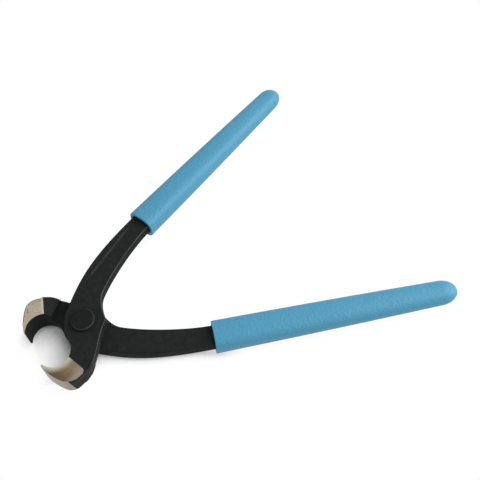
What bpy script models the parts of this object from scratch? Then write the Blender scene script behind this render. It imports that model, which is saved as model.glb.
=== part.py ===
"""Hose clamp pliers: two identical forged levers on one rivet, with a soft sleeve on each handle.

Metres, +Z up. The pivot axis is the Z axis, the jaws point to -X and the handles to +X.
The origin is where the pivot axis meets the flat underside of the rivet.
"""

import math

import bmesh
import bpy
from mathutils import Matrix, Vector

MM = 0.001

# Pose: each lever is drawn with the jaws shut and then turned open by this angle
HALF_OPENING = math.radians(19.65)

# Lever thickness: the two halves lie on each other at the pivot
LEVER_THICKNESS = 6.4 * MM
BEARING_GAP = 0.3 * MM
EDGE_RADIUS = 0.9 * MM

# Jaw head in plan, jaws shut, X measured forward from the pivot axis
JAW_REACH = 29.2 * MM
FRONT_RADIUS = 28.0 * MM
FRONT_CROWN = 5.0 * MM
HEAD_HALF_WIDTH = 18.5 * MM
HEAD_CORNER_RADIUS = 6.0 * MM
FLANK_START = 15.4 * MM
FLANK_HALF_WIDTH = 18.8 * MM
BITE_RADIUS = 8.2 * MM
TIP_LAND = 0.8 * MM
TIP_GAP = 0.3 * MM

# Jaw head in height: the ground side, the shoulder that slopes to the lap, and the pocket for the other lap
GROUND_LENGTH = 11.8 * MM
GROUND_DEPTH = 0.6 * MM
SHOULDER_TOP = 18.7 * MM
SHOULDER_FOOT = 10.5 * MM
SHOULDER_BULGE = 0.7 * MM
POCKET_ROOM = 6.7 * MM
POCKET_TURN = math.radians(204)
POCKET_RELIEF = 0.1 * MM

# Lap disc round the pivot, and the directions in which the other outlines leave it
LAP_RADIUS = 10.7 * MM
LAP_CORNER_RADIUS = 11.1 * MM
LAP_CORNER_ANGLE = math.radians(-45)
LAP_FLANK_TURN = math.radians(19)
LAP_CROTCH_TURN = math.radians(71)
LAP_BACK_ANGLE = math.radians(113)
LAP_NECK_ANGLE = math.radians(164)
BITE_NECK_ANGLE = math.radians(-8)

# How far each curve keeps its first direction, and its last one, between two outlines
FLANK_LEAD = 4.0 * MM
FLANK_TRAIL = 10.4 * MM
CROTCH_LEAD = 7.2 * MM
CROTCH_TRAIL = 4.0 * MM
INNER_LEAD = 11.8 * MM
INNER_TRAIL = 12.0 * MM
OUTER_LEAD = 33.5 * MM
OUTER_TRAIL = 23.0 * MM
THROAT_BEND = 1.4 * MM

# Shank and tang: where the inner edge leaves the crotch, and the axis of the handle from the sleeve on
SHANK_X = 17.0 * MM
SHANK_Y = 3.65 * MM
SHANK_TURN = math.radians(23)
MOUTH_X = 59.9 * MM
MOUTH_Y = 18.4 * MM
HANDLE_FLARE = math.radians(0.9)
SHANK_MOUTH_WIDTH = 10.8 * MM
TANG_END_WIDTH = 8.0 * MM

# Bare sunken panel on the outside of the shank
PANEL_X = 37.5 * MM
PANEL_Y = 16.2 * MM
PANEL_TURN = math.radians(8.6)
PANEL_LENGTH = 32.0 * MM
PANEL_WIDTH = 5.6 * MM
PANEL_DEPTH = 0.4 * MM

# Rivet
RIVET_DIAMETER = 8.0 * MM
RIVET_CLEARANCE = 0.3 * MM
RIVET_OVERHANG = 1.8 * MM
RIVET_HEAD_HEIGHT = 2.2 * MM
RIVET_RIM_RADIUS = 0.7 * MM

# Soft sleeve: its walls go round the tang, beside it at the mouth and at the end, above it, and past its end
GRIP_LENGTH = 130.0 * MM
GRIP_MOUTH_WALL = 2.45 * MM
GRIP_SIDE_WALL = 2.4 * MM
GRIP_FACE_WALL = 3.3 * MM
GRIP_END_WALL = 21.5 * MM
GRIP_LIP_RADIUS = 1.2 * MM
GRIP_DOME = 8.0 * MM
GRIP_SQUARENESS = 3.0
SLEEVE_CLEARANCE = 0.3 * MM

# Facets of the round shapes
ARC_STEPS = 8
BITE_STEPS = 26
TURNED_STEPS = 40
RIM_SEGMENTS = 2
SMOOTH_ANGLE = math.radians(40)
FLAT_ANGLE = math.radians(0.1)
WELD_DISTANCE = 0.001 * MM
CUT_MARGIN = 2.0 * MM

# Sizes that follow from the ones above
OUTER_FACE = LEVER_THICKNESS + BEARING_GAP / 2
LAP_FACE = BEARING_GAP / 2
HEAD_SEAT = OUTER_FACE + BEARING_GAP
LAP_PLANE_HEIGHT = HEAD_SEAT + RIVET_HEAD_HEIGHT
MID_SHANK = LAP_FACE + LEVER_THICKNESS / 2
POCKET_REACH = LAP_RADIUS + POCKET_ROOM
RIVET_HEAD_DIAMETER = RIVET_DIAMETER + 2 * RIVET_OVERHANG
TANG_LENGTH = GRIP_LENGTH - GRIP_END_WALL
GRIP_MOUTH_WIDTH = SHANK_MOUTH_WIDTH + 2 * (SLEEVE_CLEARANCE + GRIP_MOUTH_WALL)
GRIP_END_WIDTH = TANG_END_WIDTH + 2 * (SLEEVE_CLEARANCE + GRIP_SIDE_WALL)
GRIP_MOUTH_THICKNESS = LEVER_THICKNESS + 2 * (SLEEVE_CLEARANCE + GRIP_FACE_WALL)
LEVER_HALF_WIDTH = FLANK_HALF_WIDTH + MOUTH_Y + SHANK_MOUTH_WIDTH + TANG_LENGTH * abs(math.sin(HANDLE_FLARE))


def polar(radius, angle):
    return Vector((radius * math.cos(angle), radius * math.sin(angle)))


def arc(centre, radius, start, end, steps=ARC_STEPS):
    turn = (end - start) / steps
    return [centre + polar(radius, start + turn * i) for i in range(steps + 1)]


def bow(start, leaving, arriving, end, steps=ARC_STEPS):
    """A cubic curve that leaves the start along one vector and arrives at the end along another."""
    first, second = start + leaving, end - arriving
    points = []
    for i in range(steps + 1):
        t = i / steps
        s = 1 - t
        points.append(s**3 * start + 3 * s * s * t * first + 3 * s * t * t * second + t**3 * end)
    return points


def tang_edge(side, growth=0.0):
    """The two ends of one edge of the tang: side is 1 for the outer edge and -1 for the inner one."""
    mouth = Vector((MOUTH_X, MOUTH_Y))
    axis = polar(1, HANDLE_FLARE)
    across = polar(1, HANDLE_FLARE + math.pi / 2)
    start = mouth + side * across * (SHANK_MOUTH_WIDTH / 2 + growth)
    end = mouth + axis * (TANG_LENGTH + growth) + side * across * (TANG_END_WIDTH / 2 + growth)
    return start, end


def head_outline():
    """The front, corner and side of the jaw, from the tip to where the flank starts."""
    crown = Vector((FRONT_RADIUS - JAW_REACH, -FRONT_CROWN))
    tip_turn = math.pi - math.asin((FRONT_CROWN - TIP_GAP / 2) / FRONT_RADIUS)
    reach = FRONT_RADIUS - HEAD_CORNER_RADIUS
    drop = HEAD_HALF_WIDTH - HEAD_CORNER_RADIUS - FRONT_CROWN
    corner_turn = math.pi + math.asin(drop / reach)
    corner = crown + polar(reach, corner_turn)
    front = arc(crown, FRONT_RADIUS, tip_turn, corner_turn)
    rounding = arc(corner, HEAD_CORNER_RADIUS, corner_turn, 1.5 * math.pi)
    return front + rounding[1:]


def bite_outline(tip):
    """The round bite, from the neck of the lap to the tip."""
    centre = Vector((tip.x + TIP_LAND + BITE_RADIUS, 0))
    last = -math.pi + math.asin(TIP_GAP / 2 / BITE_RADIUS)
    return arc(centre, BITE_RADIUS, BITE_NECK_ANGLE, last, BITE_STEPS)


def lever_outline():
    """The whole lever in plan with the jaws shut, anticlockwise from the tip of its jaw."""
    head = head_outline()
    bite = bite_outline(head[0])
    disc = Vector((0, 0))
    lap_corner = polar(LAP_CORNER_RADIUS, LAP_CORNER_ANGLE)
    flank_start = Vector((-FLANK_START, -FLANK_HALF_WIDTH))
    flank = bow(flank_start, polar(FLANK_LEAD, 0), polar(FLANK_TRAIL, LAP_FLANK_TURN), lap_corner)
    inner_start, inner_end = tang_edge(-1)
    outer_start, outer_end = tang_edge(1)
    shank_start = Vector((SHANK_X, SHANK_Y))
    crotch = bow(
        lap_corner, polar(CROTCH_LEAD, LAP_CROTCH_TURN), polar(CROTCH_TRAIL, SHANK_TURN), shank_start
    )
    inner = bow(
        shank_start, polar(INNER_LEAD, SHANK_TURN), polar(INNER_TRAIL, HANDLE_FLARE), inner_start
    )
    back = polar(LAP_RADIUS, LAP_BACK_ANGLE)
    outer = bow(
        outer_start,
        polar(OUTER_LEAD, HANDLE_FLARE + math.pi),
        polar(OUTER_TRAIL, LAP_BACK_ANGLE + math.pi / 2),
        back,
        2 * ARC_STEPS,
    )
    neck = polar(LAP_RADIUS, LAP_NECK_ANGLE)
    throat = bow(
        neck,
        polar(THROAT_BEND, LAP_NECK_ANGLE + math.pi / 2),
        polar(THROAT_BEND, BITE_NECK_ANGLE - math.pi / 2),
        bite[0],
        ARC_STEPS // 2,
    )
    return (
        head
        + flank
        + crotch[1:]
        + inner[1:]
        + [inner_end, outer_end]
        + outer
        + arc(disc, LAP_RADIUS, LAP_BACK_ANGLE, LAP_NECK_ANGLE)[1:]
        + throat[1:]
        + bite[1:]
    )


def shoulder_outline():
    """Everything under the lap face that the shoulder leaves free, in X and Z."""
    top = Vector((-SHOULDER_TOP, -OUTER_FACE))
    foot = Vector((-SHOULDER_FOOT, LAP_FACE))
    chord = foot - top
    outward = Vector((chord.y, -chord.x)).normalized()
    control = (top + foot) / 2 + outward * 2 * SHOULDER_BULGE
    slope = [
        (1 - t) ** 2 * top + 2 * t * (1 - t) * control + t * t * foot
        for t in (i / ARC_STEPS for i in range(ARC_STEPS + 1))
    ]
    far = MOUTH_X + TANG_LENGTH + CUT_MARGIN
    below = -OUTER_FACE - CUT_MARGIN
    return [Vector((far, LAP_FACE))] + slope[::-1] + [Vector((-SHOULDER_TOP, below)), Vector((far, below))]


def pocket_outline():
    """The pivot's side of a straight wall across the jaw, where the other lap turns."""
    wall = polar(POCKET_REACH, POCKET_TURN)
    across = polar(2 * FLANK_HALF_WIDTH, POCKET_TURN + math.pi / 2)
    inward = polar(2 * POCKET_REACH, POCKET_TURN + math.pi)
    return [wall - across, wall - across + inward, wall + across + inward, wall + across]


def panel_outline():
    centre = Vector((PANEL_X, PANEL_Y))
    half = polar(PANEL_LENGTH / 2 - PANEL_WIDTH / 2, PANEL_TURN)
    side = PANEL_TURN + math.pi / 2
    return arc(centre - half, PANEL_WIDTH / 2, side, side + math.pi) + arc(
        centre + half, PANEL_WIDTH / 2, side + math.pi, side + 2 * math.pi
    )


def evaluated_mesh(obj, name):
    """The object's mesh with its modifiers applied; the object itself is removed."""
    bpy.context.view_layer.update()
    graph = bpy.context.evaluated_depsgraph_get()
    mesh = bpy.data.meshes.new_from_object(obj.evaluated_get(graph))
    mesh.name = name
    bpy.data.objects.remove(obj)
    return mesh


def weld(mesh, flatten):
    """Merges doubled points and, where asked, joins the facets of each flat face into one."""
    shape = bmesh.new()
    shape.from_mesh(mesh)
    bmesh.ops.remove_doubles(shape, verts=shape.verts, dist=WELD_DISTANCE)
    if flatten:
        bmesh.ops.dissolve_limit(shape, angle_limit=FLAT_ANGLE, verts=shape.verts, edges=shape.edges)
    bmesh.ops.recalc_face_normals(shape, faces=shape.faces)
    shape.to_mesh(mesh)
    shape.free()


def flat_mesh(name, points, bottom, top):
    """A plate with this outline between two heights."""
    data = bpy.data.curves.new(name, "CURVE")
    data.dimensions = "2D"
    data.fill_mode = "BOTH"
    data.extrude = (top - bottom) / 2
    spline = data.splines.new("POLY")
    spline.points.add(len(points) - 1)
    for point, place in zip(spline.points, points):
        point.co = (place.x, place.y, 0, 1)
    spline.use_cyclic_u = True
    curve = bpy.data.objects.new(name, data)
    bpy.context.scene.collection.objects.link(curve)
    mesh = evaluated_mesh(curve, name)
    weld(mesh, flatten=True)
    mesh.transform(Matrix.Translation((0, 0, (top + bottom) / 2)))
    return mesh


def turned_mesh(name, profile):
    """A body turned about Z from (radius, height) points that run from its top to its bottom."""
    mesh = bpy.data.meshes.new(name)
    shape = bmesh.new()
    points = [shape.verts.new((radius, 0, height)) for radius, height in profile]
    for upper, lower in zip(points, points[1:]):
        shape.edges.new((upper, lower))
    shape.to_mesh(mesh)
    shape.free()
    blank = bpy.data.objects.new(name, mesh)
    bpy.context.scene.collection.objects.link(blank)
    screw = blank.modifiers.new("turn", "SCREW")
    screw.steps = screw.render_steps = TURNED_STEPS
    screw.use_merge_vertices = True
    screw.merge_threshold = WELD_DISTANCE
    turned = evaluated_mesh(blank, name)
    bpy.data.meshes.remove(mesh)
    weld(turned, flatten=False)
    turned.shade_smooth()
    turned.set_sharp_from_angle(angle=SMOOTH_ANGLE)
    return turned


def round_upper_rim(mesh):
    """Rounds the rim of the plate's upper face, as on a forging."""
    shape = bmesh.new()
    shape.from_mesh(mesh)
    top = max(v.co.z for v in shape.verts)
    rim = [e for e in shape.edges if min(v.co.z for v in e.verts) > top - WELD_DISTANCE]
    bmesh.ops.bevel(
        shape,
        geom=rim,
        offset=EDGE_RADIUS,
        segments=RIM_SEGMENTS,
        profile=0.5,
        affect="EDGES",
        clamp_overlap=True,
    )
    shape.to_mesh(mesh)
    shape.free()


def steel_black():
    return material("black_forged_steel", (0.018, 0.019, 0.019), 0.45, 0.6)


def steel_rivet():
    return material("black_rivet_steel", (0.021, 0.022, 0.022), 0.4, 0.6)


def pvc_blue():
    return material("blue_soft_pvc", (0.14, 0.37, 0.51), 0.5, 0.0)


def material(name, colour, roughness, metallic):
    finish = bpy.data.materials.new(name)
    finish.use_nodes = True
    shader = finish.node_tree.nodes["Principled BSDF"]
    shader.inputs["Base Color"].default_value = (*colour, 1)
    shader.inputs["Roughness"].default_value = roughness
    shader.inputs["Metallic"].default_value = metallic
    return finish


def place(name, mesh, collection, parent, finish=None):
    obj = bpy.data.objects.new(name, mesh)
    collection.objects.link(obj)
    obj.parent = parent
    if finish:
        mesh.materials.clear()
        mesh.materials.append(finish)
    else:
        obj.hide_render = True
        obj.display_type = "WIRE"
    return obj


def cut(obj, label, mesh, collection):
    """Takes a cutter, drawn in the same half's frame, out of the object."""
    cutter = place(f"{obj.name}_{label}", mesh, collection, obj.parent)
    boolean = obj.modifiers.new(label, "BOOLEAN")
    boolean.operation = "DIFFERENCE"
    boolean.object = cutter
    return cutter


def round_cutter(name, radius, bottom, top):
    return turned_mesh(name, [(0, top), (radius, top), (radius, bottom), (0, bottom)])


def lever_blank():
    mesh = flat_mesh("lever", lever_outline(), -OUTER_FACE, OUTER_FACE)
    round_upper_rim(mesh)
    return mesh


def lever_cutters():
    """What is taken from the forging blank, by name: lap, pocket, ground side, rivet hole and panel."""
    below = -OUTER_FACE - CUT_MARGIN
    above = OUTER_FACE + CUT_MARGIN
    lap = flat_mesh("lap_cut", shoulder_outline(), -LEVER_HALF_WIDTH, LEVER_HALF_WIDTH)
    lap.transform(Matrix.Rotation(math.pi / 2, 4, "X"))
    step_x = -JAW_REACH + GROUND_LENGTH
    front_x = -JAW_REACH - CUT_MARGIN
    wide = max(HEAD_HALF_WIDTH, FLANK_HALF_WIDTH) + CUT_MARGIN
    ground = [Vector(p) for p in ((front_x, -wide), (step_x, -wide), (step_x, wide), (front_x, wide))]
    hole = RIVET_DIAMETER / 2 + RIVET_CLEARANCE
    return {
        "lap_cut": lap,
        "pocket_cut": flat_mesh("pocket_cut", pocket_outline(), below, LAP_FACE + POCKET_RELIEF),
        "ground_cut": flat_mesh("ground_cut", ground, OUTER_FACE - GROUND_DEPTH, above),
        "rivet_hole": round_cutter("rivet_hole", hole, below, above),
        "panel_cut": flat_mesh("panel_cut", panel_outline(), OUTER_FACE - PANEL_DEPTH, above),
    }


def square_up(mesh):
    """Makes each round ring about Z a rounded square of the same width."""
    power = GRIP_SQUARENESS
    for vertex in mesh.vertices:
        radius = vertex.co.xy.length
        if radius > WELD_DISTANCE:
            share = vertex.co.xy / radius
            vertex.co.xy *= (abs(share.x) ** power + abs(share.y) ** power) ** (-1 / power)


def grip_mesh():
    """The sleeve without its bore: tapered and squarish, with a rounded lip and a domed end."""
    mouth, end, lip = GRIP_MOUTH_WIDTH / 2, GRIP_END_WIDTH / 2, GRIP_LIP_RADIUS
    shoulder = GRIP_LENGTH - GRIP_DOME
    quarter = [math.pi / 2 * i / ARC_STEPS for i in range(ARC_STEPS + 1)]
    dome = [(end * math.sin(a), shoulder + GRIP_DOME * math.cos(a)) for a in quarter]
    rounding = [(mouth - lip + lip * math.cos(a), lip - lip * math.sin(a)) for a in quarter[::2]]
    mesh = turned_mesh("grip", dome + rounding + [(0, 0)])
    square_up(mesh)
    mesh.transform(Matrix.Diagonal((1, GRIP_MOUTH_THICKNESS / GRIP_MOUTH_WIDTH, 1, 1)))
    axis = Vector((math.cos(HANDLE_FLARE), math.sin(HANDLE_FLARE), 0))
    across = Vector((-axis.y, axis.x, 0))
    turn = Matrix((across, Vector((0, 0, 1)), axis)).transposed().to_4x4()
    mesh.transform(Matrix.Translation((MOUTH_X, MOUTH_Y, MID_SHANK)) @ turn)
    return mesh


def bore_mesh():
    """The flat bore of the sleeve, which clears the tang all round."""
    inner_start, inner_end = tang_edge(-1, SLEEVE_CLEARANCE)
    outer_start, outer_end = tang_edge(1, SLEEVE_CLEARANCE)
    before = polar(CUT_MARGIN, HANDLE_FLARE)
    outline = [inner_start - before, inner_end, outer_end, outer_start - before]
    return flat_mesh("bore", outline, LAP_FACE - SLEEVE_CLEARANCE, OUTER_FACE + SLEEVE_CLEARANCE)


def rivet_mesh():
    """One turned body: shank, a flat head at each end and their rounded rims."""
    head, rim, shank = RIVET_HEAD_DIAMETER / 2, RIVET_RIM_RADIUS, RIVET_DIAMETER / 2
    quarter = [math.pi / 2 * i / (ARC_STEPS // 2) for i in range(ARC_STEPS // 2 + 1)]
    face = HEAD_SEAT + RIVET_HEAD_HEIGHT
    rounding = [(head - rim + rim * math.sin(a), face - rim + rim * math.cos(a)) for a in quarter]
    upper = [(0, face)] + rounding + [(head, HEAD_SEAT), (shank, HEAD_SEAT)]
    lower = [(radius, -height) for radius, height in reversed(upper)]
    return turned_mesh("rivet", upper + lower)


def add_half(name, turn, parts, cutters):
    """One lever with its sleeve, hung on an empty on the pivot axis."""
    pivot = bpy.data.objects.new(f"{name}_half", None)
    parts.objects.link(pivot)
    pivot.location.z = LAP_PLANE_HEIGHT
    pivot.rotation_euler = turn
    lever = place(f"{name}_lever", lever_blank(), parts, pivot, steel_black())
    for label, mesh in lever_cutters().items():
        cut(lever, label, mesh, cutters)
    grip = place(f"{name}_grip", grip_mesh(), parts, pivot, pvc_blue())
    cut(grip, "bore", bore_mesh(), cutters)


def add_collection(name):
    collection = bpy.data.collections.new(name)
    bpy.context.scene.collection.children.link(collection)
    return collection


def main():
    for obj in list(bpy.data.objects):
        bpy.data.objects.remove(obj)
    parts = add_collection("hose_clamp_pliers")
    cutters = add_collection("cutters")
    add_half("upper", (0, 0, HALF_OPENING), parts, cutters)
    add_half("lower", (math.pi, 0, -HALF_OPENING), parts, cutters)
    rivet = place("pivot_rivet", rivet_mesh(), parts, None, steel_rivet())
    rivet.location.z = LAP_PLANE_HEIGHT


main()
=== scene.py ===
import math

import bmesh
import bpy
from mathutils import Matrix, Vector


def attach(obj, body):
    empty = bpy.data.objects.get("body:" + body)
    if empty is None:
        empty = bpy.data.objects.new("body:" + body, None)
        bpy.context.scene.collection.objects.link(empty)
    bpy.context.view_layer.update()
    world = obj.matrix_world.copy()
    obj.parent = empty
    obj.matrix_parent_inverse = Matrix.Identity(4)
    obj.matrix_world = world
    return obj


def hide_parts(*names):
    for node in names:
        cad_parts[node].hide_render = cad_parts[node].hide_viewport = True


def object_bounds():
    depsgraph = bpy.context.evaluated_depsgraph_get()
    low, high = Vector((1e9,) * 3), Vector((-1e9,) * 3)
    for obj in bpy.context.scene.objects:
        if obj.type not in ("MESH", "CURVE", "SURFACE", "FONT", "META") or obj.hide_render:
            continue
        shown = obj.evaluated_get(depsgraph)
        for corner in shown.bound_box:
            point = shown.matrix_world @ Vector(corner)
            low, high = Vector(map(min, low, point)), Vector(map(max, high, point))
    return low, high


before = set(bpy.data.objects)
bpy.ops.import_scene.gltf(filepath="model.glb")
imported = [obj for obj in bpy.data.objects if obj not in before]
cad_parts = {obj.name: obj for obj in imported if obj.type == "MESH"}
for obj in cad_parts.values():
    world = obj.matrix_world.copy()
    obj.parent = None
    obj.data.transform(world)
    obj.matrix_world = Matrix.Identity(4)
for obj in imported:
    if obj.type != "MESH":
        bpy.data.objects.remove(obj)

cad_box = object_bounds()

# Lever forging
# Both levers are the same drop forging of carbon steel: a jaw block, a flat lap, a bowed shank and a tang.
# The forging is blackened all over, then its jaw is ground bright on both faces and across the front.
MM = 0.001
HALF_OPENING = math.radians(19.65)
LAP_HEIGHT = 9.05 * MM
OUTER_FACE = 6.55 * MM
LAP_FACE = 0.15 * MM
JAW_REACH = 29.2 * MM
FRONT_RADIUS = 28 * MM
FRONT_CROWN = 5 * MM
FRONT_START = 170.34
BITE_START = -8
BITE_END = -178.94
FLANK_START = 15.4 * MM
FLANK_RISE = 19
CROTCH = Vector((7.84 * MM, -7.9 * MM))
CROTCH_ROUNDING = 0.9 * MM
CROTCH_RISE = 70
LAP_BACK = Vector((-2.8 * MM, 9.9 * MM))
LAP_FRONT = Vector((-9.6 * MM, 3.9 * MM))
SHANK_START = Vector((17 * MM, 3.65 * MM))
SHANK_RISE = 22.9
MOUTH = Vector((59.9 * MM, 18.4 * MM))
INNER_MOUTH_HALF = 5.5 * MM
OUTER_MOUTH_HALF = 5.3 * MM
TANG_END_HALF = 4 * MM
TANG_LENGTH = 108 * MM
HANDLE_FLARE = 0.9
# A bowed stretch of the outline leaves and arrives with a pull in millimetres and a direction in degrees.
FLANK_PULLS = (5.4, 0), (9.5, FLANK_RISE)
LAP_CORNER_PULLS = (0.5, FLANK_RISE), (0.5, CROTCH_RISE)
BEND_PULLS = (5.8, 66), (4, SHANK_RISE)
INNER_PULLS = (11.8, SHANK_RISE), (12, 2)
OUTER_PULLS = (32.8, 181.5), (21, 206)
LAP_EDGE_PULLS = (2.5, 212), (2.5, 226)
THROAT_PULLS = (2.2, 231), (1.6, 262)


def polar(radius, degrees):
    angle = math.radians(degrees)
    return Vector((radius * math.cos(angle), radius * math.sin(angle)))


def arc(centre, radius, start, end, steps):
    return [centre + polar(radius, start + (end - start) * i / steps) for i in range(steps + 1)]


def bow(start, end, pulls, steps):
    leaving, arriving = [polar(pull * MM, degrees) for pull, degrees in pulls]
    first = start + leaving
    second = end - arriving
    points = []
    for i in range(steps + 1):
        t = i / steps
        s = 1 - t
        points.append(s**3 * start + 3 * s * s * t * first + 3 * s * t * t * second + t**3 * end)
    return points


def tang_edge(side, half_mouth):
    along = polar(1, HANDLE_FLARE)
    across = polar(1, HANDLE_FLARE + 90)
    return [MOUTH + side * half_mouth * across, MOUTH + TANG_LENGTH * along + side * TANG_END_HALF * across]


def lever_outline(corner_radius, jaw_side, flank_side, bite_radius, tip_land):
    crown = Vector((FRONT_RADIUS - JAW_REACH, -FRONT_CROWN))
    reach = FRONT_RADIUS - corner_radius
    turn = 180 + math.degrees(math.asin((jaw_side - FRONT_CROWN - corner_radius) / reach))
    front = arc(crown, FRONT_RADIUS, FRONT_START, turn, 20)
    corner = arc(crown + polar(reach, turn), corner_radius, turn, 270, 14)
    flank_start = Vector((-FLANK_START, -flank_side))
    side = [corner[-1].lerp(flank_start, share) for share in (0.25, 0.5, 0.7, 0.86)]
    flank_end = CROTCH - polar(CROTCH_ROUNDING, FLANK_RISE)
    bend_start = CROTCH + polar(CROTCH_ROUNDING, CROTCH_RISE)
    flank = bow(flank_start, flank_end, FLANK_PULLS, 26)
    lap_corner = bow(flank_end, bend_start, LAP_CORNER_PULLS, 6)
    bend = bow(lap_corner[-1], SHANK_START, BEND_PULLS, 16)
    inner_mouth, inner_end = tang_edge(-1, INNER_MOUTH_HALF)
    outer_mouth, outer_end = tang_edge(1, OUTER_MOUTH_HALF)
    inner = bow(SHANK_START, inner_mouth, INNER_PULLS, 30)
    outer = bow(outer_mouth, LAP_BACK, OUTER_PULLS, 32)
    lap_edge = bow(LAP_BACK, LAP_FRONT, LAP_EDGE_PULLS, 14)
    bite_centre = Vector((front[0].x + tip_land + bite_radius, 0))
    bite = arc(bite_centre, bite_radius, BITE_START, BITE_END, 52)
    throat = bow(LAP_FRONT, bite[0], THROAT_PULLS, 10)
    tang = [inner_end, outer_end]
    stretches = [front, corner[1:], side, flank, lap_corner[1:], bend[1:], inner[1:], tang, outer]
    stretches = stretches + [lap_edge[1:], throat[1:], bite[1:]]
    return [point for stretch in stretches for point in stretch]


WELD = 0.0005 * MM
NEAR = 0.01 * MM
SHARP = 1
FLAT = 0.99
LEVEL = 0.9
STEEP = 0.5
UPRIGHT = 0.3


def pick(piece):
    bpy.ops.object.select_all(action="DESELECT")
    bpy.context.view_layer.objects.active = piece
    piece.select_set(True)


def start_mesh(name):
    piece = bpy.context.active_object
    piece.name = name
    piece.data.name = name
    pick(piece)
    bpy.ops.object.transform_apply(location=True, rotation=True, scale=True)
    bpy.ops.object.mode_set(mode="EDIT")
    return piece


def end_mesh():
    bpy.ops.mesh.select_all(action="SELECT")
    bpy.ops.mesh.remove_doubles(threshold=WELD)
    bpy.ops.mesh.normals_make_consistent(inside=False)
    bpy.ops.object.mode_set(mode="OBJECT")


def select_where(piece, kind, test):
    bpy.ops.mesh.select_mode(type=kind)
    bpy.ops.mesh.select_all(action="DESELECT")
    shape = bmesh.from_edit_mesh(piece.data)
    for part in {"VERT": shape.verts, "EDGE": shape.edges, "FACE": shape.faces}[kind]:
        part.select = test(part)
    shape.select_flush_mode()
    bmesh.update_edit_mesh(piece.data)


def middle(edge):
    return (edge.verts[0].co + edge.verts[1].co) / 2


def draw_plate(name, points, depth):
    bpy.ops.mesh.primitive_plane_add(size=1 * MM, location=points[0])
    piece = start_mesh(name)
    bpy.ops.mesh.select_mode(type="VERT")
    bpy.ops.mesh.select_all(action="SELECT")
    bpy.ops.mesh.merge(type="CENTER")
    for before, after in zip(points, points[1:] + points[:1]):
        bpy.ops.mesh.extrude_vertices_move(TRANSFORM_OT_translate={"value": after - before})
    bpy.ops.mesh.select_all(action="SELECT")
    bpy.ops.mesh.remove_doubles(threshold=WELD)
    bpy.ops.mesh.edge_face_add()
    bpy.ops.mesh.extrude_region_move(TRANSFORM_OT_translate={"value": depth})
    end_mesh()
    return piece


def cut_away(piece, cutter):
    pick(piece)
    cut = piece.modifiers.new("cut", "BOOLEAN")
    cut.object = cutter
    cut.operation = "DIFFERENCE"
    cut.solver = "EXACT"
    bpy.ops.object.modifier_apply(modifier=cut.name)
    bpy.data.objects.remove(cutter)


# The walls of the forging slant, so its inner and its outer face each have a plan of their own.
inner_plan = lever_outline(
    corner_radius=6.2 * MM, jaw_side=17.8 * MM, flank_side=18.2 * MM, bite_radius=8.5 * MM, tip_land=0.5 * MM
)
outer_plan = lever_outline(
    corner_radius=8 * MM, jaw_side=18.8 * MM, flank_side=19.5 * MM, bite_radius=8 * MM, tip_land=1 * MM
)
blank = [point.to_3d() - Vector((0, 0, OUTER_FACE)) for point in inner_plan]
lever = draw_plate("upper_lever_forging", blank, Vector((0, 0, 2 * OUTER_FACE)))
for vertex in lever.data.vertices:
    if vertex.co.z > 0:
        nearest = min(range(len(inner_plan)), key=lambda i: (inner_plan[i] - vertex.co.xy).length)
        vertex.co.xy = outer_plan[nearest]

# The rim of the outer face is rounded, except where the jaw is ground.
RIM_RADIUS = 0.45 * MM
GROUND_EDGE = -17.4 * MM
bpy.ops.object.mode_set(mode="EDIT")
select_where(
    lever,
    "EDGE",
    lambda edge: all(v.co.z > OUTER_FACE - NEAR for v in edge.verts)
    and middle(edge).x > GROUND_EDGE
    and not edge.is_boundary,
)
bpy.ops.mesh.bevel(offset=RIM_RADIUS, segments=4, affect="EDGES", clamp_overlap=False)
bpy.ops.object.mode_set(mode="OBJECT")

# The rims on the handle side, below a line that rises along the shank, are painted lighter: partly bare where
# the hand wears the finish off, partly a painted highlight where they face the light.
WEAR_AND_HIGHLIGHT_FROM = -13 * MM
WEAR_AND_HIGHLIGHT_BELOW = 5 * MM
WEAR_AND_HIGHLIGHT_RISE = 0.33


def mark_wear_and_highlight(piece, low, high, amount):
    wear_and_highlight = piece.data.attributes.new("rubbed_edge_and_highlight", "FLOAT", "POINT")
    for vertex, value in zip(piece.data.vertices, wear_and_highlight.data):
        on_handle_side = vertex.co.x > WEAR_AND_HIGHLIGHT_FROM and vertex.co.y < WEAR_AND_HIGHLIGHT_BELOW + WEAR_AND_HIGHLIGHT_RISE * vertex.co.x
        value.value = amount if on_handle_side and vertex.select and low < vertex.co.z < high else 0.0


mark_wear_and_highlight(lever, OUTER_FACE - 0.95 * RIM_RADIUS, OUTER_FACE - 0.03 * RIM_RADIUS, 1)

# Behind the jaw half the thickness is cut away, so that the laps lie on each other. A bowed shoulder is left.
SHOULDER_EDGE = -18.7 * MM
SHOULDER_FOOT = -10.5 * MM
SHOULDER_BULGE = 1.0 * MM
SLOPE_STEPS = 16
PAST_TANG = 180 * MM
PAST_SIDE = 60 * MM
PAST_FACE = 9 * MM
shoulder_top = Vector((SHOULDER_EDGE, -OUTER_FACE))
shoulder_foot = Vector((SHOULDER_FOOT, LAP_FACE))
chord = shoulder_foot - shoulder_top
belly = (shoulder_top + shoulder_foot) / 2 + Vector((chord.y, -chord.x)).normalized() * SHOULDER_BULGE
slope = [
    (1 - t) ** 2 * shoulder_top + 2 * t * (1 - t) * belly + t * t * shoulder_foot
    for t in (i / SLOPE_STEPS for i in range(SLOPE_STEPS + 1))
]
lap_side = [Vector((PAST_TANG, -PAST_FACE)), Vector((PAST_TANG, LAP_FACE))] + slope[::-1]
lap_side = lap_side + [Vector((SHOULDER_EDGE, -PAST_FACE))]
lap_wall = [Vector((p.x, -PAST_SIDE, p.y)) for p in lap_side]
lap_cut = draw_plate("lap_cut", lap_wall, Vector((0, 2 * PAST_SIDE, 0)))
cut_away(lever, lap_cut)

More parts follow.
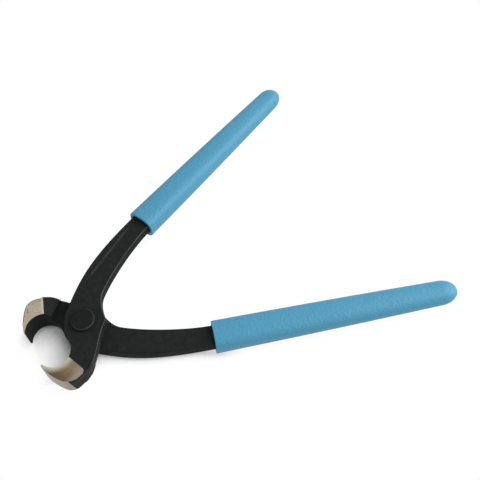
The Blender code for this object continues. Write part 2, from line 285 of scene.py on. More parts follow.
# A straight pocket between jaw and lap leaves room for the other lap to turn.
POCKET_TURN = 24
POCKET_REACH = 17.4 * MM
POCKET_HALF_WIDTH = 40 * MM
POCKET_LENGTH = 16 * MM
POCKET_RISE = 9.25 * MM
wall = polar(POCKET_REACH, POCKET_TURN + 180)
across = polar(POCKET_HALF_WIDTH, POCKET_TURN + 270)
inward = polar(POCKET_LENGTH, POCKET_TURN)
pocket = [wall - across, wall - across + inward, wall + across + inward, wall + across]
pocket_floor = [p.to_3d() + Vector((0, 0, -PAST_FACE)) for p in pocket]
pocket_cut = draw_plate("pocket_cut", pocket_floor, Vector((0, 0, POCKET_RISE)))
cut_away(lever, pocket_cut)

RIVET_HOLE_RADIUS = 4.3 * MM
HOLE_CUT_DEPTH = 30 * MM
bpy.ops.mesh.primitive_cylinder_add(
    vertices=96, radius=RIVET_HOLE_RADIUS, depth=HOLE_CUT_DEPTH, location=(0, 0, 0)
)
hole_cut = start_mesh("rivet_hole")
end_mesh()
cut_away(lever, hole_cut)

# The wheel grinds a shallow hollow across the outer face of the jaw. It stops short of the jaw's side, in a
# round corner.
WHEEL_RADIUS = 40 * MM
WHEEL_WIDTH = 60 * MM
WHEEL_TOP = 12 * MM
HOLLOW_MIDDLE = Vector((-24.05 * MM, -6 * MM))
HOLLOW_DEPTH = 0.84 * MM
HOLLOW_CORNER = Vector((-19.4 * MM, -16.95 * MM))
HOLLOW_CORNER_RADIUS = 2 * MM
HOLLOW_SIDE = -18.95 * MM
GUARD_FRONT = -36 * MM
GUARD_BACK = -10 * MM
GUARD_SIDE = -40 * MM
GUARD_BOTTOM = 5 * MM
GUARD_HEIGHT = 25 * MM
bpy.ops.mesh.primitive_cylinder_add(
    vertices=720,
    radius=WHEEL_RADIUS,
    depth=WHEEL_WIDTH,
    location=(HOLLOW_MIDDLE.x, HOLLOW_MIDDLE.y, OUTER_FACE - HOLLOW_DEPTH + WHEEL_RADIUS),
    rotation=(math.pi / 2, 0, 0),
)
wheel_cut = start_mesh("grinding_wheel")
bpy.ops.mesh.select_all(action="SELECT")
bpy.ops.mesh.bisect(plane_co=(GROUND_EDGE, 0, 0), plane_no=(1, 0, 0), use_fill=True, clear_outer=True)
bpy.ops.mesh.select_all(action="SELECT")
bpy.ops.mesh.bisect(plane_co=(0, 0, WHEEL_TOP), plane_no=(0, 0, 1), use_fill=True, clear_outer=True)
end_mesh()
hollow_end = [Vector((GUARD_FRONT, HOLLOW_SIDE)), Vector((HOLLOW_CORNER.x, HOLLOW_SIDE))]
hollow_end = hollow_end + arc(HOLLOW_CORNER, HOLLOW_CORNER_RADIUS, 280, 360, 10)
hollow_end = hollow_end + [Vector((GUARD_BACK, HOLLOW_CORNER.y)), Vector((GUARD_BACK, GUARD_SIDE))]
hollow_end = hollow_end + [Vector((GUARD_FRONT, GUARD_SIDE))]
guard_foot = [p.to_3d() - Vector((0, 0, GUARD_BOTTOM)) for p in hollow_end]
wheel_guard = draw_plate("wheel_guard", guard_foot, Vector((0, 0, GUARD_HEIGHT)))
cut_away(wheel_cut, wheel_guard)
cut_away(lever, wheel_cut)

# A shallow bare panel with sloped sides and round ends is pressed into the shank.
PANEL_MIDDLE = Vector((37.4 * MM, 16.6 * MM))
PANEL_HALF = 15.2 * MM
PANEL_TURN = 8.6
PANEL_END_RADIUS = 3.3 * MM
PANEL_DEPTH = 0.4 * MM
PANEL_SLOPE = 2 * MM
PANEL_CUT_HEIGHT = 1 * MM
panel_half = polar(PANEL_HALF, PANEL_TURN)
panel = arc(PANEL_MIDDLE - panel_half, PANEL_END_RADIUS, PANEL_TURN + 90, PANEL_TURN + 270, 14)
panel = panel + arc(PANEL_MIDDLE + panel_half, PANEL_END_RADIUS, PANEL_TURN + 270, PANEL_TURN + 450, 14)
panel_top = Vector((0, 0, OUTER_FACE + PANEL_DEPTH))
panel_cut = draw_plate("panel_cut", [p.to_3d() + panel_top for p in panel], Vector((0, 0, PANEL_CUT_HEIGHT)))
bpy.ops.object.mode_set(mode="EDIT")
select_where(panel_cut, "FACE", lambda face: face.normal.z < -LEVEL)
bpy.ops.mesh.inset(thickness=PANEL_SLOPE, depth=2 * PANEL_DEPTH)
bpy.ops.object.mode_set(mode="OBJECT")
cut_away(lever, panel_cut)

# The shank's edges on the side of the lap are rounded, and so are the outer edges of the jaw's inner face.
SHANK_ROUNDING = 1.2 * MM
SHANK_ROUNDED_FROM = 9 * MM
JAW_ROUNDING = 0.8 * MM
JAW_ROUNDED_BELOW = -6 * MM
JAW_FACE_BELOW = -6 * MM
BITE_MIDDLE = Vector((-20 * MM, 0))
BITE_ROOM = 10 * MM
bpy.ops.object.mode_set(mode="EDIT")
bpy.ops.mesh.select_all(action="SELECT")
bpy.ops.mesh.remove_doubles(threshold=2 * WELD)
select_where(
    lever,
    "EDGE",
    lambda edge: all(abs(v.co.z - LAP_FACE) < NEAR for v in edge.verts)
    and middle(edge).x > SHANK_ROUNDED_FROM
    and edge.calc_face_angle(0) > SHARP,
)
bpy.ops.mesh.bevel(offset=SHANK_ROUNDING, segments=6, affect="EDGES", clamp_overlap=False)
select_where(
    lever, "FACE", lambda face: face.normal.z < -LEVEL and face.calc_center_median().z < JAW_FACE_BELOW
)
bpy.ops.mesh.bisect(plane_co=(SHOULDER_EDGE, 0, 0), plane_no=(1, 0, 0))
select_where(
    lever,
    "EDGE",
    lambda edge: all(v.co.z < NEAR - OUTER_FACE for v in edge.verts)
    and middle(edge).x < SHOULDER_EDGE
    and middle(edge).y < JAW_ROUNDED_BELOW
    and (middle(edge).xy - BITE_MIDDLE).length > BITE_ROOM
    and edge.calc_face_angle(0) > SHARP,
)
bpy.ops.mesh.bevel(offset=JAW_ROUNDING, segments=4, affect="EDGES", clamp_overlap=False)

# The ground front ends on the jaw's wall along a slanting line.
# Past that line the wall is split a little above half height, and a faint light line is painted along it as a
# painted highlight.
FRONT_TOP = Vector((-26.3 * MM, -16.1 * MM, 5.7 * MM))
FRONT_FOOT = Vector((-24.1 * MM, -16.9 * MM, -OUTER_FACE))
FRONT_SIDE = -10 * MM
CORNER_WAY = Vector((-0.7, -0.7, 0))
JAW_END_BAND = 2.4 * MM
JAW_END_SIDE = -13 * MM
front_slant = (FRONT_FOOT - FRONT_TOP).cross(CORNER_WAY).normalized()
select_where(
    lever,
    "FACE",
    lambda face: abs(face.normal.z) < UPRIGHT
    and face.normal.x < 0
    and face.calc_center_median().y < FRONT_SIDE,
)
bpy.ops.mesh.bisect(plane_co=FRONT_TOP, plane_no=front_slant)
select_where(
    lever, "FACE", lambda face: abs(face.normal.z) < STEEP and face.calc_center_median().y < JAW_END_SIDE
)
bpy.ops.mesh.bisect(plane_co=(0, 0, JAW_END_BAND), plane_no=(0, 0, 1))
bpy.ops.mesh.select_all(action="SELECT")
bpy.ops.mesh.dissolve_degenerate(threshold=NEAR)

GROUND_STEP = 0.1 * MM
FRONT_BACK = -23 * MM
FRONTWARD = -0.2


def is_ground(face):
    centre = face.calc_center_median()
    hollow = centre.x < GROUND_EDGE and face.normal.z > LEVEL and centre.z < OUTER_FACE - GROUND_STEP
    inner = centre.x < SHOULDER_EDGE and face.normal.z < -LEVEL
    beyond = (centre - FRONT_TOP).dot(front_slant) * math.copysign(1, front_slant.x)
    upright = abs(face.normal.z) < UPRIGHT
    front = face.normal.x < FRONTWARD and upright and centre.x < FRONT_BACK and beyond < 0
    return hollow or inner or front


select_where(lever, "FACE", is_ground)
bpy.ops.object.mode_set(mode="OBJECT")


def linear(colour):
    channels = [int(colour[i : i + 2], 16) / 255 for i in (1, 3, 5)]
    return [c / 12.92 if c <= 0.04045 else ((c + 0.055) / 1.055) ** 2.4 for c in channels] + [1.0]


def add_node(material, kind, settings=None, inputs=None):
    tree = material.node_tree
    node = tree.nodes.new(kind)
    for name, value in (settings or {}).items():
        setattr(node, name, value)
    for name, value in (inputs or {}).items():
        if isinstance(value, bpy.types.NodeSocket):
            tree.links.new(value, node.inputs[name])
        else:
            node.inputs[name].default_value = value
    return node


def new_material(name):
    material = bpy.data.materials.new(name)
    material.use_nodes = True
    material.node_tree.nodes.clear()
    return material


# Black oxide on a shot-blasted forging: a dull satin black with a fine grain. Its edges are painted lighter,
# partly bare where the finish wears off and partly a painted highlight.
# The shot marks are drawn coarser than real ones, which are a few tenths of a millimetre, so that they show.
SHOT_MARK = 1.1 * MM
GLOSS_PATCH = 14 * MM
WEAR_AND_HIGHLIGHT_PATCH = 5 * MM
OXIDE_BLOTCH = 3 * MM
black_steel = new_material("blackened_forged_steel")
place = add_node(black_steel, "ShaderNodeAttribute", {"attribute_name": "steel_place"})
grain = add_node(
    black_steel,
    "ShaderNodeTexNoise",
    inputs={"Vector": place.outputs["Vector"], "Scale": 1 / SHOT_MARK, "Detail": 3.0, "Roughness": 0.6},
)
patches = add_node(
    black_steel,
    "ShaderNodeTexNoise",
    inputs={"Vector": place.outputs["Vector"], "Scale": 1 / GLOSS_PATCH, "Detail": 2.0},
)
edge = add_node(black_steel, "ShaderNodeAttribute", {"attribute_name": "rubbed_edge_and_highlight"})
patchy_wear_and_highlight = add_node(
    black_steel,
    "ShaderNodeTexNoise",
    inputs={"Vector": place.outputs["Vector"], "Scale": 1 / WEAR_AND_HIGHLIGHT_PATCH, "Detail": 3.0, "Roughness": 0.6},
)
wear_and_highlight_patchiness = add_node(
    black_steel,
    "ShaderNodeMapRange",
    inputs={"Value": patchy_wear_and_highlight.outputs["Fac"], "From Min": 0.35, "From Max": 0.65, "To Min": 0.35},
)
slope_highlight = add_node(black_steel, "ShaderNodeAttribute", {"attribute_name": "painted_slope_highlight"})
any_wear_and_highlight = add_node(
    black_steel,
    "ShaderNodeMath",
    {"operation": "MAXIMUM"},
    {0: edge.outputs["Fac"], 1: slope_highlight.outputs["Fac"]},
)
wear_and_highlight_share = add_node(
    black_steel,
    "ShaderNodeMath",
    {"operation": "MULTIPLY"},
    {0: any_wear_and_highlight.outputs[0], 1: wear_and_highlight_patchiness.outputs["Result"]},
)
blotches = add_node(
    black_steel,
    "ShaderNodeTexNoise",
    inputs={"Vector": place.outputs["Vector"], "Scale": 1 / OXIDE_BLOTCH, "Detail": 4.0, "Roughness": 0.7},
)
uneven = add_node(
    black_steel,
    "ShaderNodeMapRange",
    inputs={"Value": blotches.outputs["Fac"], "From Min": 0.3, "From Max": 0.7},
)
tone = add_node(
    black_steel,
    "ShaderNodeMix",
    {"data_type": "RGBA"},
    {"Factor": uneven.outputs["Result"], 6: linear("#222423"), 7: linear("#2c2e2d")},
)
# Rims and slopes painted lighter: on the rims partly bare metal where the finish wears off, and on rims and
# slopes a painted highlight where they face the light.
worn_and_highlighted = add_node(
    black_steel,
    "ShaderNodeMix",
    {"data_type": "RGBA"},
    {"Factor": wear_and_highlight_share.outputs[0], 6: tone.outputs[2], 7: linear("#5c5d5b")},
)
gloss = add_node(
    black_steel,
    "ShaderNodeMapRange",
    inputs={
        "Value": patches.outputs["Fac"],
        "From Min": 0.3,
        "From Max": 0.7,
        "To Min": 0.55,
        "To Max": 0.68,
    },
)
relief = add_node(
    black_steel,
    "ShaderNodeBump",
    inputs={"Strength": 0.35, "Distance": 0.06 * MM, "Height": grain.outputs["Fac"]},
)
skin = add_node(
    black_steel,
    "ShaderNodeBsdfPrincipled",
    inputs={
        "Base Color": worn_and_highlighted.outputs[2],
        "Roughness": gloss.outputs["Result"],
        "Specular IOR Level": 0.03,
        "Normal": relief.outputs["Normal"],
    },
)
add_node(black_steel, "ShaderNodeOutputMaterial", inputs={"Surface": skin.outputs["BSDF"]})

# Bare steel off the grinding wheel: finely lined and grey. On the hollow, painted reflection and shade run
# from cream by the bite to darker and browner toward the front, and paler toward its rim.
# Its inner face is pitted and has a pale edge. Lines and pits are coarser than real ones, so that they show.
WHEEL_LINE = 0.7 * MM
PIT = 1 * MM
REFLECTION_CENTRE = (-19.7 * MM, 0, 6 * MM)
INNER_LEVEL = -6.3 * MM
HOLLOW_LEVEL = 5.55 * MM
bright_steel = new_material("ground_carbon_steel")
place = add_node(bright_steel, "ShaderNodeAttribute", {"attribute_name": "steel_place"})
side = add_node(bright_steel, "ShaderNodeSeparateXYZ", inputs={"Vector": place.outputs["Vector"]})
from_bite = add_node(
    bright_steel,
    "ShaderNodeVectorMath",
    {"operation": "DISTANCE"},
    {0: place.outputs["Vector"], 1: REFLECTION_CENTRE},
)
# Painted reflection on the curved hollow: cream close to the bite, darker and browner toward the front, paler
# toward its rim.
front_shade_share = add_node(
    bright_steel,
    "ShaderNodeMapRange",
    inputs={"Value": side.outputs["X"], "From Min": -20 * MM, "From Max": -27 * MM},
)
reflection_toward_front = add_node(
    bright_steel,
    "ShaderNodeMix",
    {"data_type": "RGBA"},
    {"Factor": front_shade_share.outputs["Result"], 6: linear("#897b66"), 7: linear("#655744")},
)
rim_share = add_node(
    bright_steel,
    "ShaderNodeMapRange",
    inputs={"Value": side.outputs["Y"], "From Min": -14.5 * MM, "From Max": -18 * MM, "To Max": 0.8},
)
reflection_with_rim = add_node(
    bright_steel,
    "ShaderNodeMix",
    {"data_type": "RGBA"},
    {"Factor": rim_share.outputs["Result"], 6: reflection_toward_front.outputs[2], 7: linear("#9c9284")},
)
reflection_share = add_node(
    bright_steel,
    "ShaderNodeMapRange",
    {"interpolation_type": "SMOOTHSTEP"},
    {"Value": from_bite.outputs["Value"], "From Min": 8 * MM, "From Max": 11.6 * MM},
)
hollow = add_node(
    bright_steel,
    "ShaderNodeMix",
    {"data_type": "RGBA"},
    {"Factor": reflection_share.outputs["Result"], 6: linear("#bcb6a6"), 7: reflection_with_rim.outputs[2]},
)
inner = add_node(
    bright_steel,
    "ShaderNodeMix",
    {"data_type": "RGBA"},
    {"Factor": rim_share.outputs["Result"], 6: linear("#b0a592"), 7: linear("#8a8579")},
)
edge_share = add_node(
    bright_steel,
    "ShaderNodeMapRange",
    inputs={"Value": side.outputs["X"], "From Min": -20.1 * MM, "From Max": -19.4 * MM, "To Max": 0.8},
)
inner_edge = add_node(
    bright_steel,
    "ShaderNodeMix",
    {"data_type": "RGBA"},
    {"Factor": edge_share.outputs["Result"], 6: inner.outputs[2], 7: linear("#c6c2b8")},
)
is_inner = add_node(
    bright_steel, "ShaderNodeMath", {"operation": "LESS_THAN"}, {0: side.outputs["Z"], 1: INNER_LEVEL}
)
front = add_node(
    bright_steel,
    "ShaderNodeMix",
    {"data_type": "RGBA"},
    {"Factor": is_inner.outputs[0], 6: linear("#978c80"), 7: inner_edge.outputs[2]},
)
is_hollow = add_node(
    bright_steel, "ShaderNodeMath", {"operation": "GREATER_THAN"}, {0: side.outputs["Z"], 1: HOLLOW_LEVEL}
)
tint = add_node(
    bright_steel,
    "ShaderNodeMix",
    {"data_type": "RGBA"},
    {"Factor": is_hollow.outputs[0], 6: front.outputs[2], 7: hollow.outputs[2]},
)
wheel_lines = add_node(
    bright_steel,
    "ShaderNodeVectorMath",
    {"operation": "MULTIPLY"},
    {0: place.outputs["Vector"], 1: (0.08, 1, 0.08)},
)
lines = add_node(
    bright_steel,
    "ShaderNodeTexNoise",
    inputs={"Vector": wheel_lines.outputs["Vector"], "Scale": 1 / WHEEL_LINE, "Detail": 2.0},
)
lined = add_node(
    bright_steel,
    "ShaderNodeMapRange",
    inputs={"Value": lines.outputs["Fac"], "From Min": 0.3, "From Max": 0.7, "To Min": 0.9, "To Max": 1.05},
)
pits = add_node(
    bright_steel,
    "ShaderNodeTexNoise",
    inputs={"Vector": place.outputs["Vector"], "Scale": 1 / PIT, "Detail": 2.0},
)
pit_tone = add_node(
    bright_steel,
    "ShaderNodeMapRange",
    inputs={"Value": is_inner.outputs[0], "To Min": 0.95, "To Max": 0.45},
)
pitted = add_node(
    bright_steel,
    "ShaderNodeMapRange",
    inputs={
        "Value": pits.outputs["Fac"],
        "From Min": 0.61,
        "From Max": 0.68,
        "To Min": 1.0,
        "To Max": pit_tone.outputs["Result"],
    },
)
dulled = add_node(
    bright_steel,
    "ShaderNodeMath",
    {"operation": "MULTIPLY"},
    {0: lined.outputs["Result"], 1: pitted.outputs["Result"]},
)
shade = add_node(
    bright_steel,
    "ShaderNodeVectorMath",
    {"operation": "SCALE"},
    {0: tint.outputs[2], "Scale": dulled.outputs[0]},
)
scratch = add_node(
    bright_steel,
    "ShaderNodeBump",
    inputs={"Strength": 0.25, "Distance": 0.02 * MM, "Height": lines.outputs["Fac"]},
)
skin = add_node(
    bright_steel,
    "ShaderNodeBsdfPrincipled",
    inputs={
        "Base Color": shade.outputs["Vector"],
        "Metallic": 1.0,
        "Roughness": 0.4,
        "Normal": scratch.outputs["Normal"],
    },
)
add_node(bright_steel, "ShaderNodeOutputMaterial", inputs={"Surface": skin.outputs["BSDF"]})


def keep_place(piece):
    where = piece.data.attributes.new("steel_place", "FLOAT_VECTOR", "POINT")
    for vertex, value in zip(piece.data.vertices, where.data):
        value.vector = vertex.co


# The faint line round the jaw's end and the upper slope of the panel are painted lighter too, as a painted
# highlight where they face the light.
FAINT_HIGHLIGHT = 0.35
PANEL_FROM = 20 * MM
PANEL_TO = 55 * MM
SLOPE_FROM = 1 * MM
SLOPE_TO = 4 * MM
lever.data.materials.append(black_steel)
lever.data.materials.append(bright_steel)
for face in lever.data.polygons:
    face.material_index = 1 if face.select else 0
keep_place(lever)
for vertex, value in zip(lever.data.vertices, lever.data.attributes["rubbed_edge_and_highlight"].data):
    if abs(vertex.co.z - JAW_END_BAND) < NEAR and vertex.co.y < JAW_END_SIDE:
        value.value = FAINT_HIGHLIGHT
slope_highlight_marks = lever.data.attributes.new("painted_slope_highlight", "FLOAT", "FACE")
panel_across = polar(1, PANEL_TURN + 90)
for face, value in zip(lever.data.polygons, slope_highlight_marks.data):
    offset = (face.center.xy - PANEL_MIDDLE).dot(panel_across)
    on_slope = STEEP < face.normal.z < FLAT and PANEL_FROM < face.center.x < PANEL_TO
    value.value = FAINT_HIGHLIGHT if on_slope and SLOPE_FROM < offset < SLOPE_TO else 0.0


def finish_shading(piece, degrees):
    pick(piece)
    bpy.ops.object.shade_smooth_by_angle(angle=math.radians(degrees))
    even = piece.modifiers.new("even_faces", "WEIGHTED_NORMAL")
    even.keep_sharp = True
    bpy.ops.object.modifier_apply(modifier=even.name)


def copy_piece(piece, name):
    twin = piece.copy()
    twin.data = piece.data.copy()
    twin.name = name
    twin.data.name = name
    bpy.context.scene.collection.objects.link(twin)
    return twin


def set_half(piece, turned_over):
    pick(piece)
    piece.location = (0, 0, LAP_HEIGHT)
    piece.rotation_euler = (math.pi, 0, -HALF_OPENING) if turned_over else (0, 0, HALF_OPENING)
    bpy.ops.object.transform_apply(location=True, rotation=True, scale=True)


STEEL_SMOOTHING = 32
finish_shading(lever, STEEL_SMOOTHING)
lower_forging = copy_piece(lever, "lower_lever_forging")
set_half(lever, False)
set_half(lower_forging, True)
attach(lever, "upper_half")
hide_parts("upper_lever")
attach(lower_forging, "lower_half")
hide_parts("lower_lever")

# Pivot rivet
# A round bar of blackened steel with a flat head at each end, set through both laps so that they turn on it.
# Its heads are turned flat, with a fine ring, and their rims are rounded over.
HEAD_RADIUS = 5.8 * MM
HEAD_HEIGHT = 2.2 * MM
HEAD_OVERHANG = 1.8 * MM
HEAD_RIM = 1 * MM
RIVET_HEIGHT = 18.1 * MM
RING_INSET = 0.5 * MM
RING_WIDTH = 0.25 * MM
RING_DEPTH = 0.06 * MM
HEAD_WEAR_AND_HIGHLIGHT = 0.5
bpy.ops.mesh.primitive_cylinder_add(
    vertices=96, radius=HEAD_RADIUS, depth=HEAD_HEIGHT, location=(0, 0, RIVET_HEIGHT - HEAD_HEIGHT / 2)
)
rivet = start_mesh("rivet_body")
select_where(rivet, "FACE", lambda face: face.normal.z < -LEVEL)
bpy.ops.mesh.inset(thickness=HEAD_OVERHANG)
bpy.ops.mesh.extrude_region_move(TRANSFORM_OT_translate={"value": (0, 0, 2 * HEAD_HEIGHT - RIVET_HEIGHT)})
bpy.ops.mesh.inset(thickness=HEAD_OVERHANG, use_outset=True)
select_where(
    rivet,
    "FACE",
    lambda face: face.normal.z < -LEVEL and face.calc_center_median().z < HEAD_HEIGHT + NEAR,
)
bpy.ops.mesh.extrude_region_move(TRANSFORM_OT_translate={"value": (0, 0, -HEAD_HEIGHT)})
select_where(
    rivet,
    "EDGE",
    lambda edge: all(
        v.co.xy.length > HEAD_RADIUS - NEAR and (v.co.z < NEAR or v.co.z > RIVET_HEIGHT - NEAR)
        for v in edge.verts
    ),
)
bpy.ops.mesh.bevel(offset=HEAD_RIM, segments=6, affect="EDGES", clamp_overlap=False)
bpy.ops.object.mode_set(mode="OBJECT")
# The rim of the upper head is painted lighter in a ring, partly bare where the finish wears off and partly a
# painted highlight.
mark_wear_and_highlight(rivet, RIVET_HEIGHT - 0.95 * HEAD_RIM, RIVET_HEIGHT - 0.2 * HEAD_RIM, HEAD_WEAR_AND_HIGHLIGHT)
bpy.ops.object.mode_set(mode="EDIT")
select_where(rivet, "FACE", lambda face: abs(face.normal.z) > FLAT and len(face.verts) > 50)
bpy.ops.mesh.inset(thickness=RING_INSET, use_individual=True)
bpy.ops.mesh.inset(thickness=RING_WIDTH, depth=-RING_DEPTH, use_individual=True)
end_mesh()

# Turned steel under the same black finish, which is a little darker on it.
rivet_steel = black_steel.copy()
rivet_steel.name = "blackened_rivet_steel"
rivet_tone = rivet_steel.node_tree.nodes[tone.name]
rivet_tone.inputs[6].default_value = linear("#1d1f1e")
rivet_tone.inputs[7].default_value = linear("#252726")
rivet.data.materials.append(rivet_steel)
keep_place(rivet)
finish_shading(rivet, STEEL_SMOOTHING)
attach(rivet, "lower_half")
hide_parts("pivot_rivet")

# Handle sleeves
# A dipped sleeve of soft blue PVC is pushed over each tang, so it is snug inside and open at its mouth.
# It tapers to a domed end and is squarish in section, with a rounded lip that stands off the steel.
SLEEVE_START = 1.2 * MM
SLEEVE_LENGTH = 129 * MM
SLEEVE_MIDDLE = 3.35 * MM
MOUTH_HALF_WIDTH = 7.9 * MM
MOUTH_WALL = 1.8 * MM
MOUTH_HALF_DEPTH = 4.75 * MM
END_HALF_WIDTH = 6.5 * MM
SWELL = 0.2 * MM
FLATNESS = 13.6 / 16.3
LIP = 0.5 * MM
BORE_LIP = 0.7 * MM
DOME = 9 * MM
SQUARENESS = 3
SQUARENESS_LOST = 0.8
RING_POINTS = 64
SLEEVE_SMOOTHING = 40
# The rings of the bore, from its closed end to its mouth: place along it, half width and half depth, in mm.
BORE_RINGS = (109, 4.4, 3.6), (26, 5.6, 4.0), (8, 5.7, 4.1), (3, 6.0, 4.4), (1.2, 6.3, 4.7)


def sleeve_rings():
    rings = [(along * MM, wide * MM, deep * MM) for along, wide, deep in BORE_RINGS]
    inner = MOUTH_HALF_WIDTH - MOUTH_WALL
    for step in range(1, 4):
        angle = math.radians(30 * step)
        rise = BORE_LIP * math.sin(angle)
        shift = BORE_LIP * (1 - math.cos(angle))
        rings.append((BORE_LIP - rise, inner + shift, MOUTH_HALF_DEPTH + shift))
    for step in range(1, 7):
        angle = math.radians(15 * step)
        half = MOUTH_HALF_WIDTH - LIP + LIP * math.sin(angle)
        rings.append((LIP - LIP * math.cos(angle), half, half * FLATNESS))
    straight = SLEEVE_LENGTH - DOME
    for step in range(1, 13):
        share = step / 12
        half = MOUTH_HALF_WIDTH + (END_HALF_WIDTH - MOUTH_HALF_WIDTH) * share
        half = half + SWELL * math.sin(math.pi * share)
        rings.append((LIP + (straight - LIP) * share, half, half * FLATNESS))
    for step in range(1, 12):
        angle = math.radians(90 * step / 12)
        half = END_HALF_WIDTH * math.cos(angle)
        rings.append((straight + DOME * math.sin(angle), half, half * FLATNESS))
    return rings


rings = sleeve_rings()
along, wide, deep = rings[0]
bpy.ops.mesh.primitive_circle_add(
    vertices=RING_POINTS, radius=1 * MM, location=(along, 0, 0), rotation=(0, math.pi / 2, 0)
)
sleeve = start_mesh("upper_handle_sleeve")
bpy.ops.mesh.select_mode(type="VERT")
bpy.ops.mesh.select_all(action="SELECT")
bpy.ops.transform.resize(value=(1, wide / MM, deep / MM), center_override=(along, 0, 0))
bpy.ops.mesh.edge_face_add()
bpy.ops.mesh.select_mode(type="EDGE")
bpy.ops.mesh.select_all(action="SELECT")
for (old_along, old_wide, old_deep), (along, wide, deep) in zip(rings, rings[1:]):
    bpy.ops.mesh.extrude_edges_move(TRANSFORM_OT_translate={"value": (along - old_along, 0, 0)})
    bpy.ops.transform.resize(value=(1, wide / old_wide, deep / old_deep), center_override=(along, 0, 0))
bpy.ops.mesh.extrude_edges_move(TRANSFORM_OT_translate={"value": (SLEEVE_LENGTH - along, 0, 0)})
bpy.ops.mesh.merge(type="CENTER")
bpy.ops.object.mode_set(mode="OBJECT")
for vertex in sleeve.data.vertices:
    around = math.atan2(vertex.co.z / FLATNESS, vertex.co.y)
    square = SQUARENESS - SQUARENESS_LOST * vertex.co.x / SLEEVE_LENGTH
    swell = (abs(math.cos(around)) ** square + abs(math.sin(around)) ** square) ** (-1 / square)
    vertex.co.yz = vertex.co.yz * swell
bpy.ops.object.mode_set(mode="EDIT")
bpy.ops.mesh.select_all(action="SELECT")
bpy.ops.transform.translate(value=(SLEEVE_START, 0, 0))
bpy.ops.transform.rotate(value=-math.radians(HANDLE_FLARE), orient_axis="Z", center_override=(0, 0, 0))
bpy.ops.transform.translate(value=(MOUTH.x, MOUTH.y, SLEEVE_MIDDLE))
end_mesh()

# Plasticised PVC, dip moulded: matte with a soft sheen and a faint mottle from the dip.
# Its skin has soft pimples, drawn a little over a millimetre wide so that they show.
PIMPLE = 1.3 * MM
soft_pvc = new_material("soft_dipped_pvc")
coords = add_node(soft_pvc, "ShaderNodeTexCoord")
mottle = add_node(
    soft_pvc,
    "ShaderNodeTexNoise",
    inputs={"Vector": coords.outputs["Object"], "Scale": 1 / PIMPLE, "Detail": 2.0, "Roughness": 0.6},
)
tint = add_node(
    soft_pvc,
    "ShaderNodeMix",
    {"data_type": "RGBA"},
    {"Factor": mottle.outputs["Fac"], 6: linear("#4493b6"), 7: linear("#54a1c1")},
)
pimple = add_node(
    soft_pvc,
    "ShaderNodeBump",
    inputs={"Strength": 0.8, "Distance": 0.4 * MM, "Height": mottle.outputs["Fac"]},
)
skin = add_node(
    soft_pvc,
    "ShaderNodeBsdfPrincipled",
    inputs={
        "Base Color": tint.outputs[2],
        "Roughness": 0.47,
        "Specular IOR Level": 0.42,
        "Normal": pimple.outputs["Normal"],
    },
)
add_node(soft_pvc, "ShaderNodeOutputMaterial", inputs={"Surface": skin.outputs["BSDF"]})
sleeve.data.materials.append(soft_pvc)
finish_shading(sleeve, SLEEVE_SMOOTHING)
lower_sleeve = copy_piece(sleeve, "lower_handle_sleeve")


# The sleeves are pushed on by hand, so they aren't quite alike: one sits shorter, and each is a little askew.
def settle_sleeve(piece, stretch, degrees):
    pick(piece)
    bpy.ops.object.mode_set(mode="EDIT")
    bpy.ops.mesh.select_all(action="SELECT")
    mouth = (MOUTH.x, MOUTH.y, 0)
    bpy.ops.transform.resize(value=(stretch, 1, 1), center_override=mouth)
    bpy.ops.transform.rotate(value=-math.radians(degrees), orient_axis="Z", center_override=mouth)
    bpy.ops.object.mode_set(mode="OBJECT")


settle_sleeve(sleeve, stretch=0.988, degrees=-0.3)
settle_sleeve(lower_sleeve, stretch=1.003, degrees=0.15)
set_half(sleeve, False)
set_half(lower_sleeve, True)
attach(sleeve, "upper_half")
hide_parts("upper_grip")
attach(lower_sleeve, "lower_half")
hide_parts("lower_grip")

# Floor
# The white sweep of a photographer's table, on which the tool lies.
# It is one wide sheet of paper, level with the lowest point of the solids.
FLOOR_SIZE = 8
bpy.ops.object.select_all(action="DESELECT")
bpy.ops.mesh.primitive_plane_add(size=FLOOR_SIZE, location=(0, 0, cad_box[0][2]))
floor = bpy.context.active_object
floor.name = "floor"

# Matte paper, seen as white. The tool's soft shadow on it is painted into its glow from ambient occlusion, on
# the side away from the light, and is painted out under the sleeves and in front of the lower jaw. From below
# the paper is clear.
SHADOW_REACH = 60 * MM
LIGHT_SIDE = {"X": 0.77, "Y": -0.2, "Z": 0.6}
JAW_FRONT = (-0.5, -0.87, 0)
WASHED_OUT = 0.96
white_sweep = new_material("white_sweep")
seen = add_node(white_sweep, "ShaderNodeLightPath")
seen_or_mirrored = add_node(
    white_sweep,
    "ShaderNodeMath",
    {"operation": "MAXIMUM"},
    {0: seen.outputs["Is Camera Ray"], 1: seen.outputs["Is Glossy Ray"]},
)
any_seen = add_node(
    white_sweep,
    "ShaderNodeMath",
    {"operation": "MAXIMUM"},
    {0: seen_or_mirrored.outputs[0], 1: seen.outputs["Is Transmission Ray"]},
)
light_side = add_node(white_sweep, "ShaderNodeCombineXYZ", inputs=LIGHT_SIDE)
open_side = add_node(
    white_sweep,
    "ShaderNodeAmbientOcclusion",
    {"samples": 24},
    {"Distance": SHADOW_REACH, "Normal": light_side.outputs["Vector"]},
)
shadow = add_node(
    white_sweep,
    "ShaderNodeMapRange",
    inputs={
        "Value": open_side.outputs["AO"],
        "From Min": 0.375,
        "From Max": 0.61,
        "To Min": 0.05,
        "To Max": 1.0,
    },
)
floor_place = add_node(white_sweep, "ShaderNodeTexCoord")
floor_side = add_node(white_sweep, "ShaderNodeSeparateXYZ", inputs={"Vector": floor_place.outputs["Object"]})
washed = add_node(
    white_sweep,
    "ShaderNodeMapRange",
    inputs={
        "Value": floor_side.outputs["X"],
        "From Min": 22 * MM,
        "From Max": 62 * MM,
        "To Max": WASHED_OUT,
    },
)
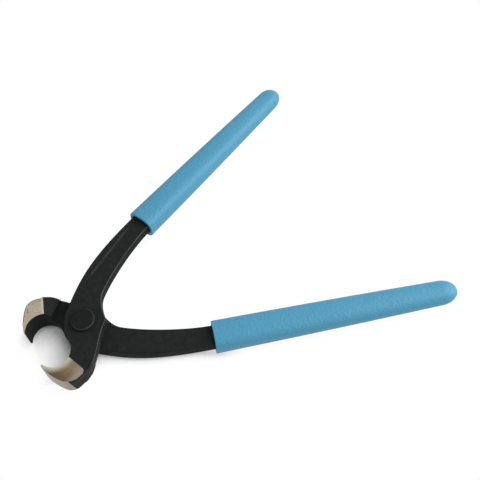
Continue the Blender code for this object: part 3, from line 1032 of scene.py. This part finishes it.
jaw_front = add_node(
    white_sweep,
    "ShaderNodeVectorMath",
    {"operation": "DOT_PRODUCT"},
    {0: floor_place.outputs["Object"], 1: JAW_FRONT},
)
jaw_washed = add_node(
    white_sweep,
    "ShaderNodeMapRange",
    inputs={
        "Value": jaw_front.outputs["Value"],
        "From Min": 19 * MM,
        "From Max": 26 * MM,
        "To Max": WASHED_OUT,
    },
)
any_washed = add_node(
    white_sweep,
    "ShaderNodeMath",
    {"operation": "MAXIMUM"},
    {0: washed.outputs["Result"], 1: jaw_washed.outputs["Result"]},
)
seen_shadow = add_node(
    white_sweep,
    "ShaderNodeMath",
    {"operation": "MAXIMUM"},
    {0: shadow.outputs["Result"], 1: any_washed.outputs[0]},
)
paper = add_node(white_sweep, "ShaderNodeBsdfDiffuse", inputs={"Color": linear("#d2d2d2")})
glow = add_node(white_sweep, "ShaderNodeEmission", inputs={"Strength": seen_shadow.outputs[0]})
either = add_node(
    white_sweep,
    "ShaderNodeMixShader",
    inputs={0: any_seen.outputs[0], 1: paper.outputs[0], 2: glow.outputs[0]},
)
below = add_node(white_sweep, "ShaderNodeNewGeometry")
clear = add_node(white_sweep, "ShaderNodeBsdfTransparent")
one_sided = add_node(
    white_sweep,
    "ShaderNodeMixShader",
    inputs={0: below.outputs["Backfacing"], 1: either.outputs[0], 2: clear.outputs[0]},
)
add_node(white_sweep, "ShaderNodeOutputMaterial", inputs={"Surface": one_sided.outputs[0]})
floor.data.materials.append(white_sweep)

# Light
# A pale tent all round the table lights the tool at a plain level, and is itself seen as white.
# One large soft box stands beyond the handles.
TENT_LEVEL = 0.54
TENT_SEEN = 1.0
BOX_SIZE = 0.8
BOX_WATTS = 7
BOX_PLACE = (0.76, -0.33, 0.57)
BOX_AIM = Vector((0.05, 0, 0))
world = bpy.data.worlds.new("light_tent")
bpy.context.scene.world = world
world.use_nodes = True
world.node_tree.nodes.clear()
seen = add_node(world, "ShaderNodeLightPath")
seen_or_mirrored = add_node(
    world,
    "ShaderNodeMath",
    {"operation": "MAXIMUM"},
    {0: seen.outputs["Is Camera Ray"], 1: seen.outputs["Is Glossy Ray"]},
)
any_seen = add_node(
    world,
    "ShaderNodeMath",
    {"operation": "MAXIMUM"},
    {0: seen_or_mirrored.outputs[0], 1: seen.outputs["Is Transmission Ray"]},
)
level = add_node(
    world,
    "ShaderNodeMapRange",
    inputs={"Value": any_seen.outputs[0], "To Min": TENT_LEVEL, "To Max": TENT_SEEN},
)
tent = add_node(world, "ShaderNodeBackground", inputs={"Strength": level.outputs["Result"]})
tent.inputs["Color"].default_value = (1, 1, 1, 1)
add_node(world, "ShaderNodeOutputWorld", inputs={"Surface": tent.outputs[0]})

soft_box = bpy.data.lights.new("soft_box", "AREA")
soft_box.shape = "SQUARE"
soft_box.size = BOX_SIZE
soft_box.energy = BOX_WATTS
soft_box_stand = bpy.data.objects.new("soft_box", soft_box)
bpy.context.scene.collection.objects.link(soft_box_stand)
soft_box_stand.location = BOX_PLACE
soft_box_turn = BOX_AIM - soft_box_stand.location
soft_box_stand.rotation_euler = soft_box_turn.to_track_quat("-Z", "Y").to_euler()

# Camera
# It looks down at the tool from the side of its jaws, as the photographer stood.
# Its lens and place were fitted to the edges of the tool in the photograph.
CAMERA_PLACE = (-0.00798, -0.15601, 0.29523)
CAMERA_TURN = (33.223, 0.114, -32.669)
lens = bpy.data.cameras.new("camera")
lens.sensor_width = 36
lens.lens = 47.074
lens.clip_start = 0.01
camera = bpy.data.objects.new("camera", lens)
bpy.context.scene.collection.objects.link(camera)
camera.location = CAMERA_PLACE
camera.rotation_euler = [math.radians(turn) for turn in CAMERA_TURN]
bpy.context.scene.camera = camera
bpy.context.scene.view_settings.view_transform = "Standard"
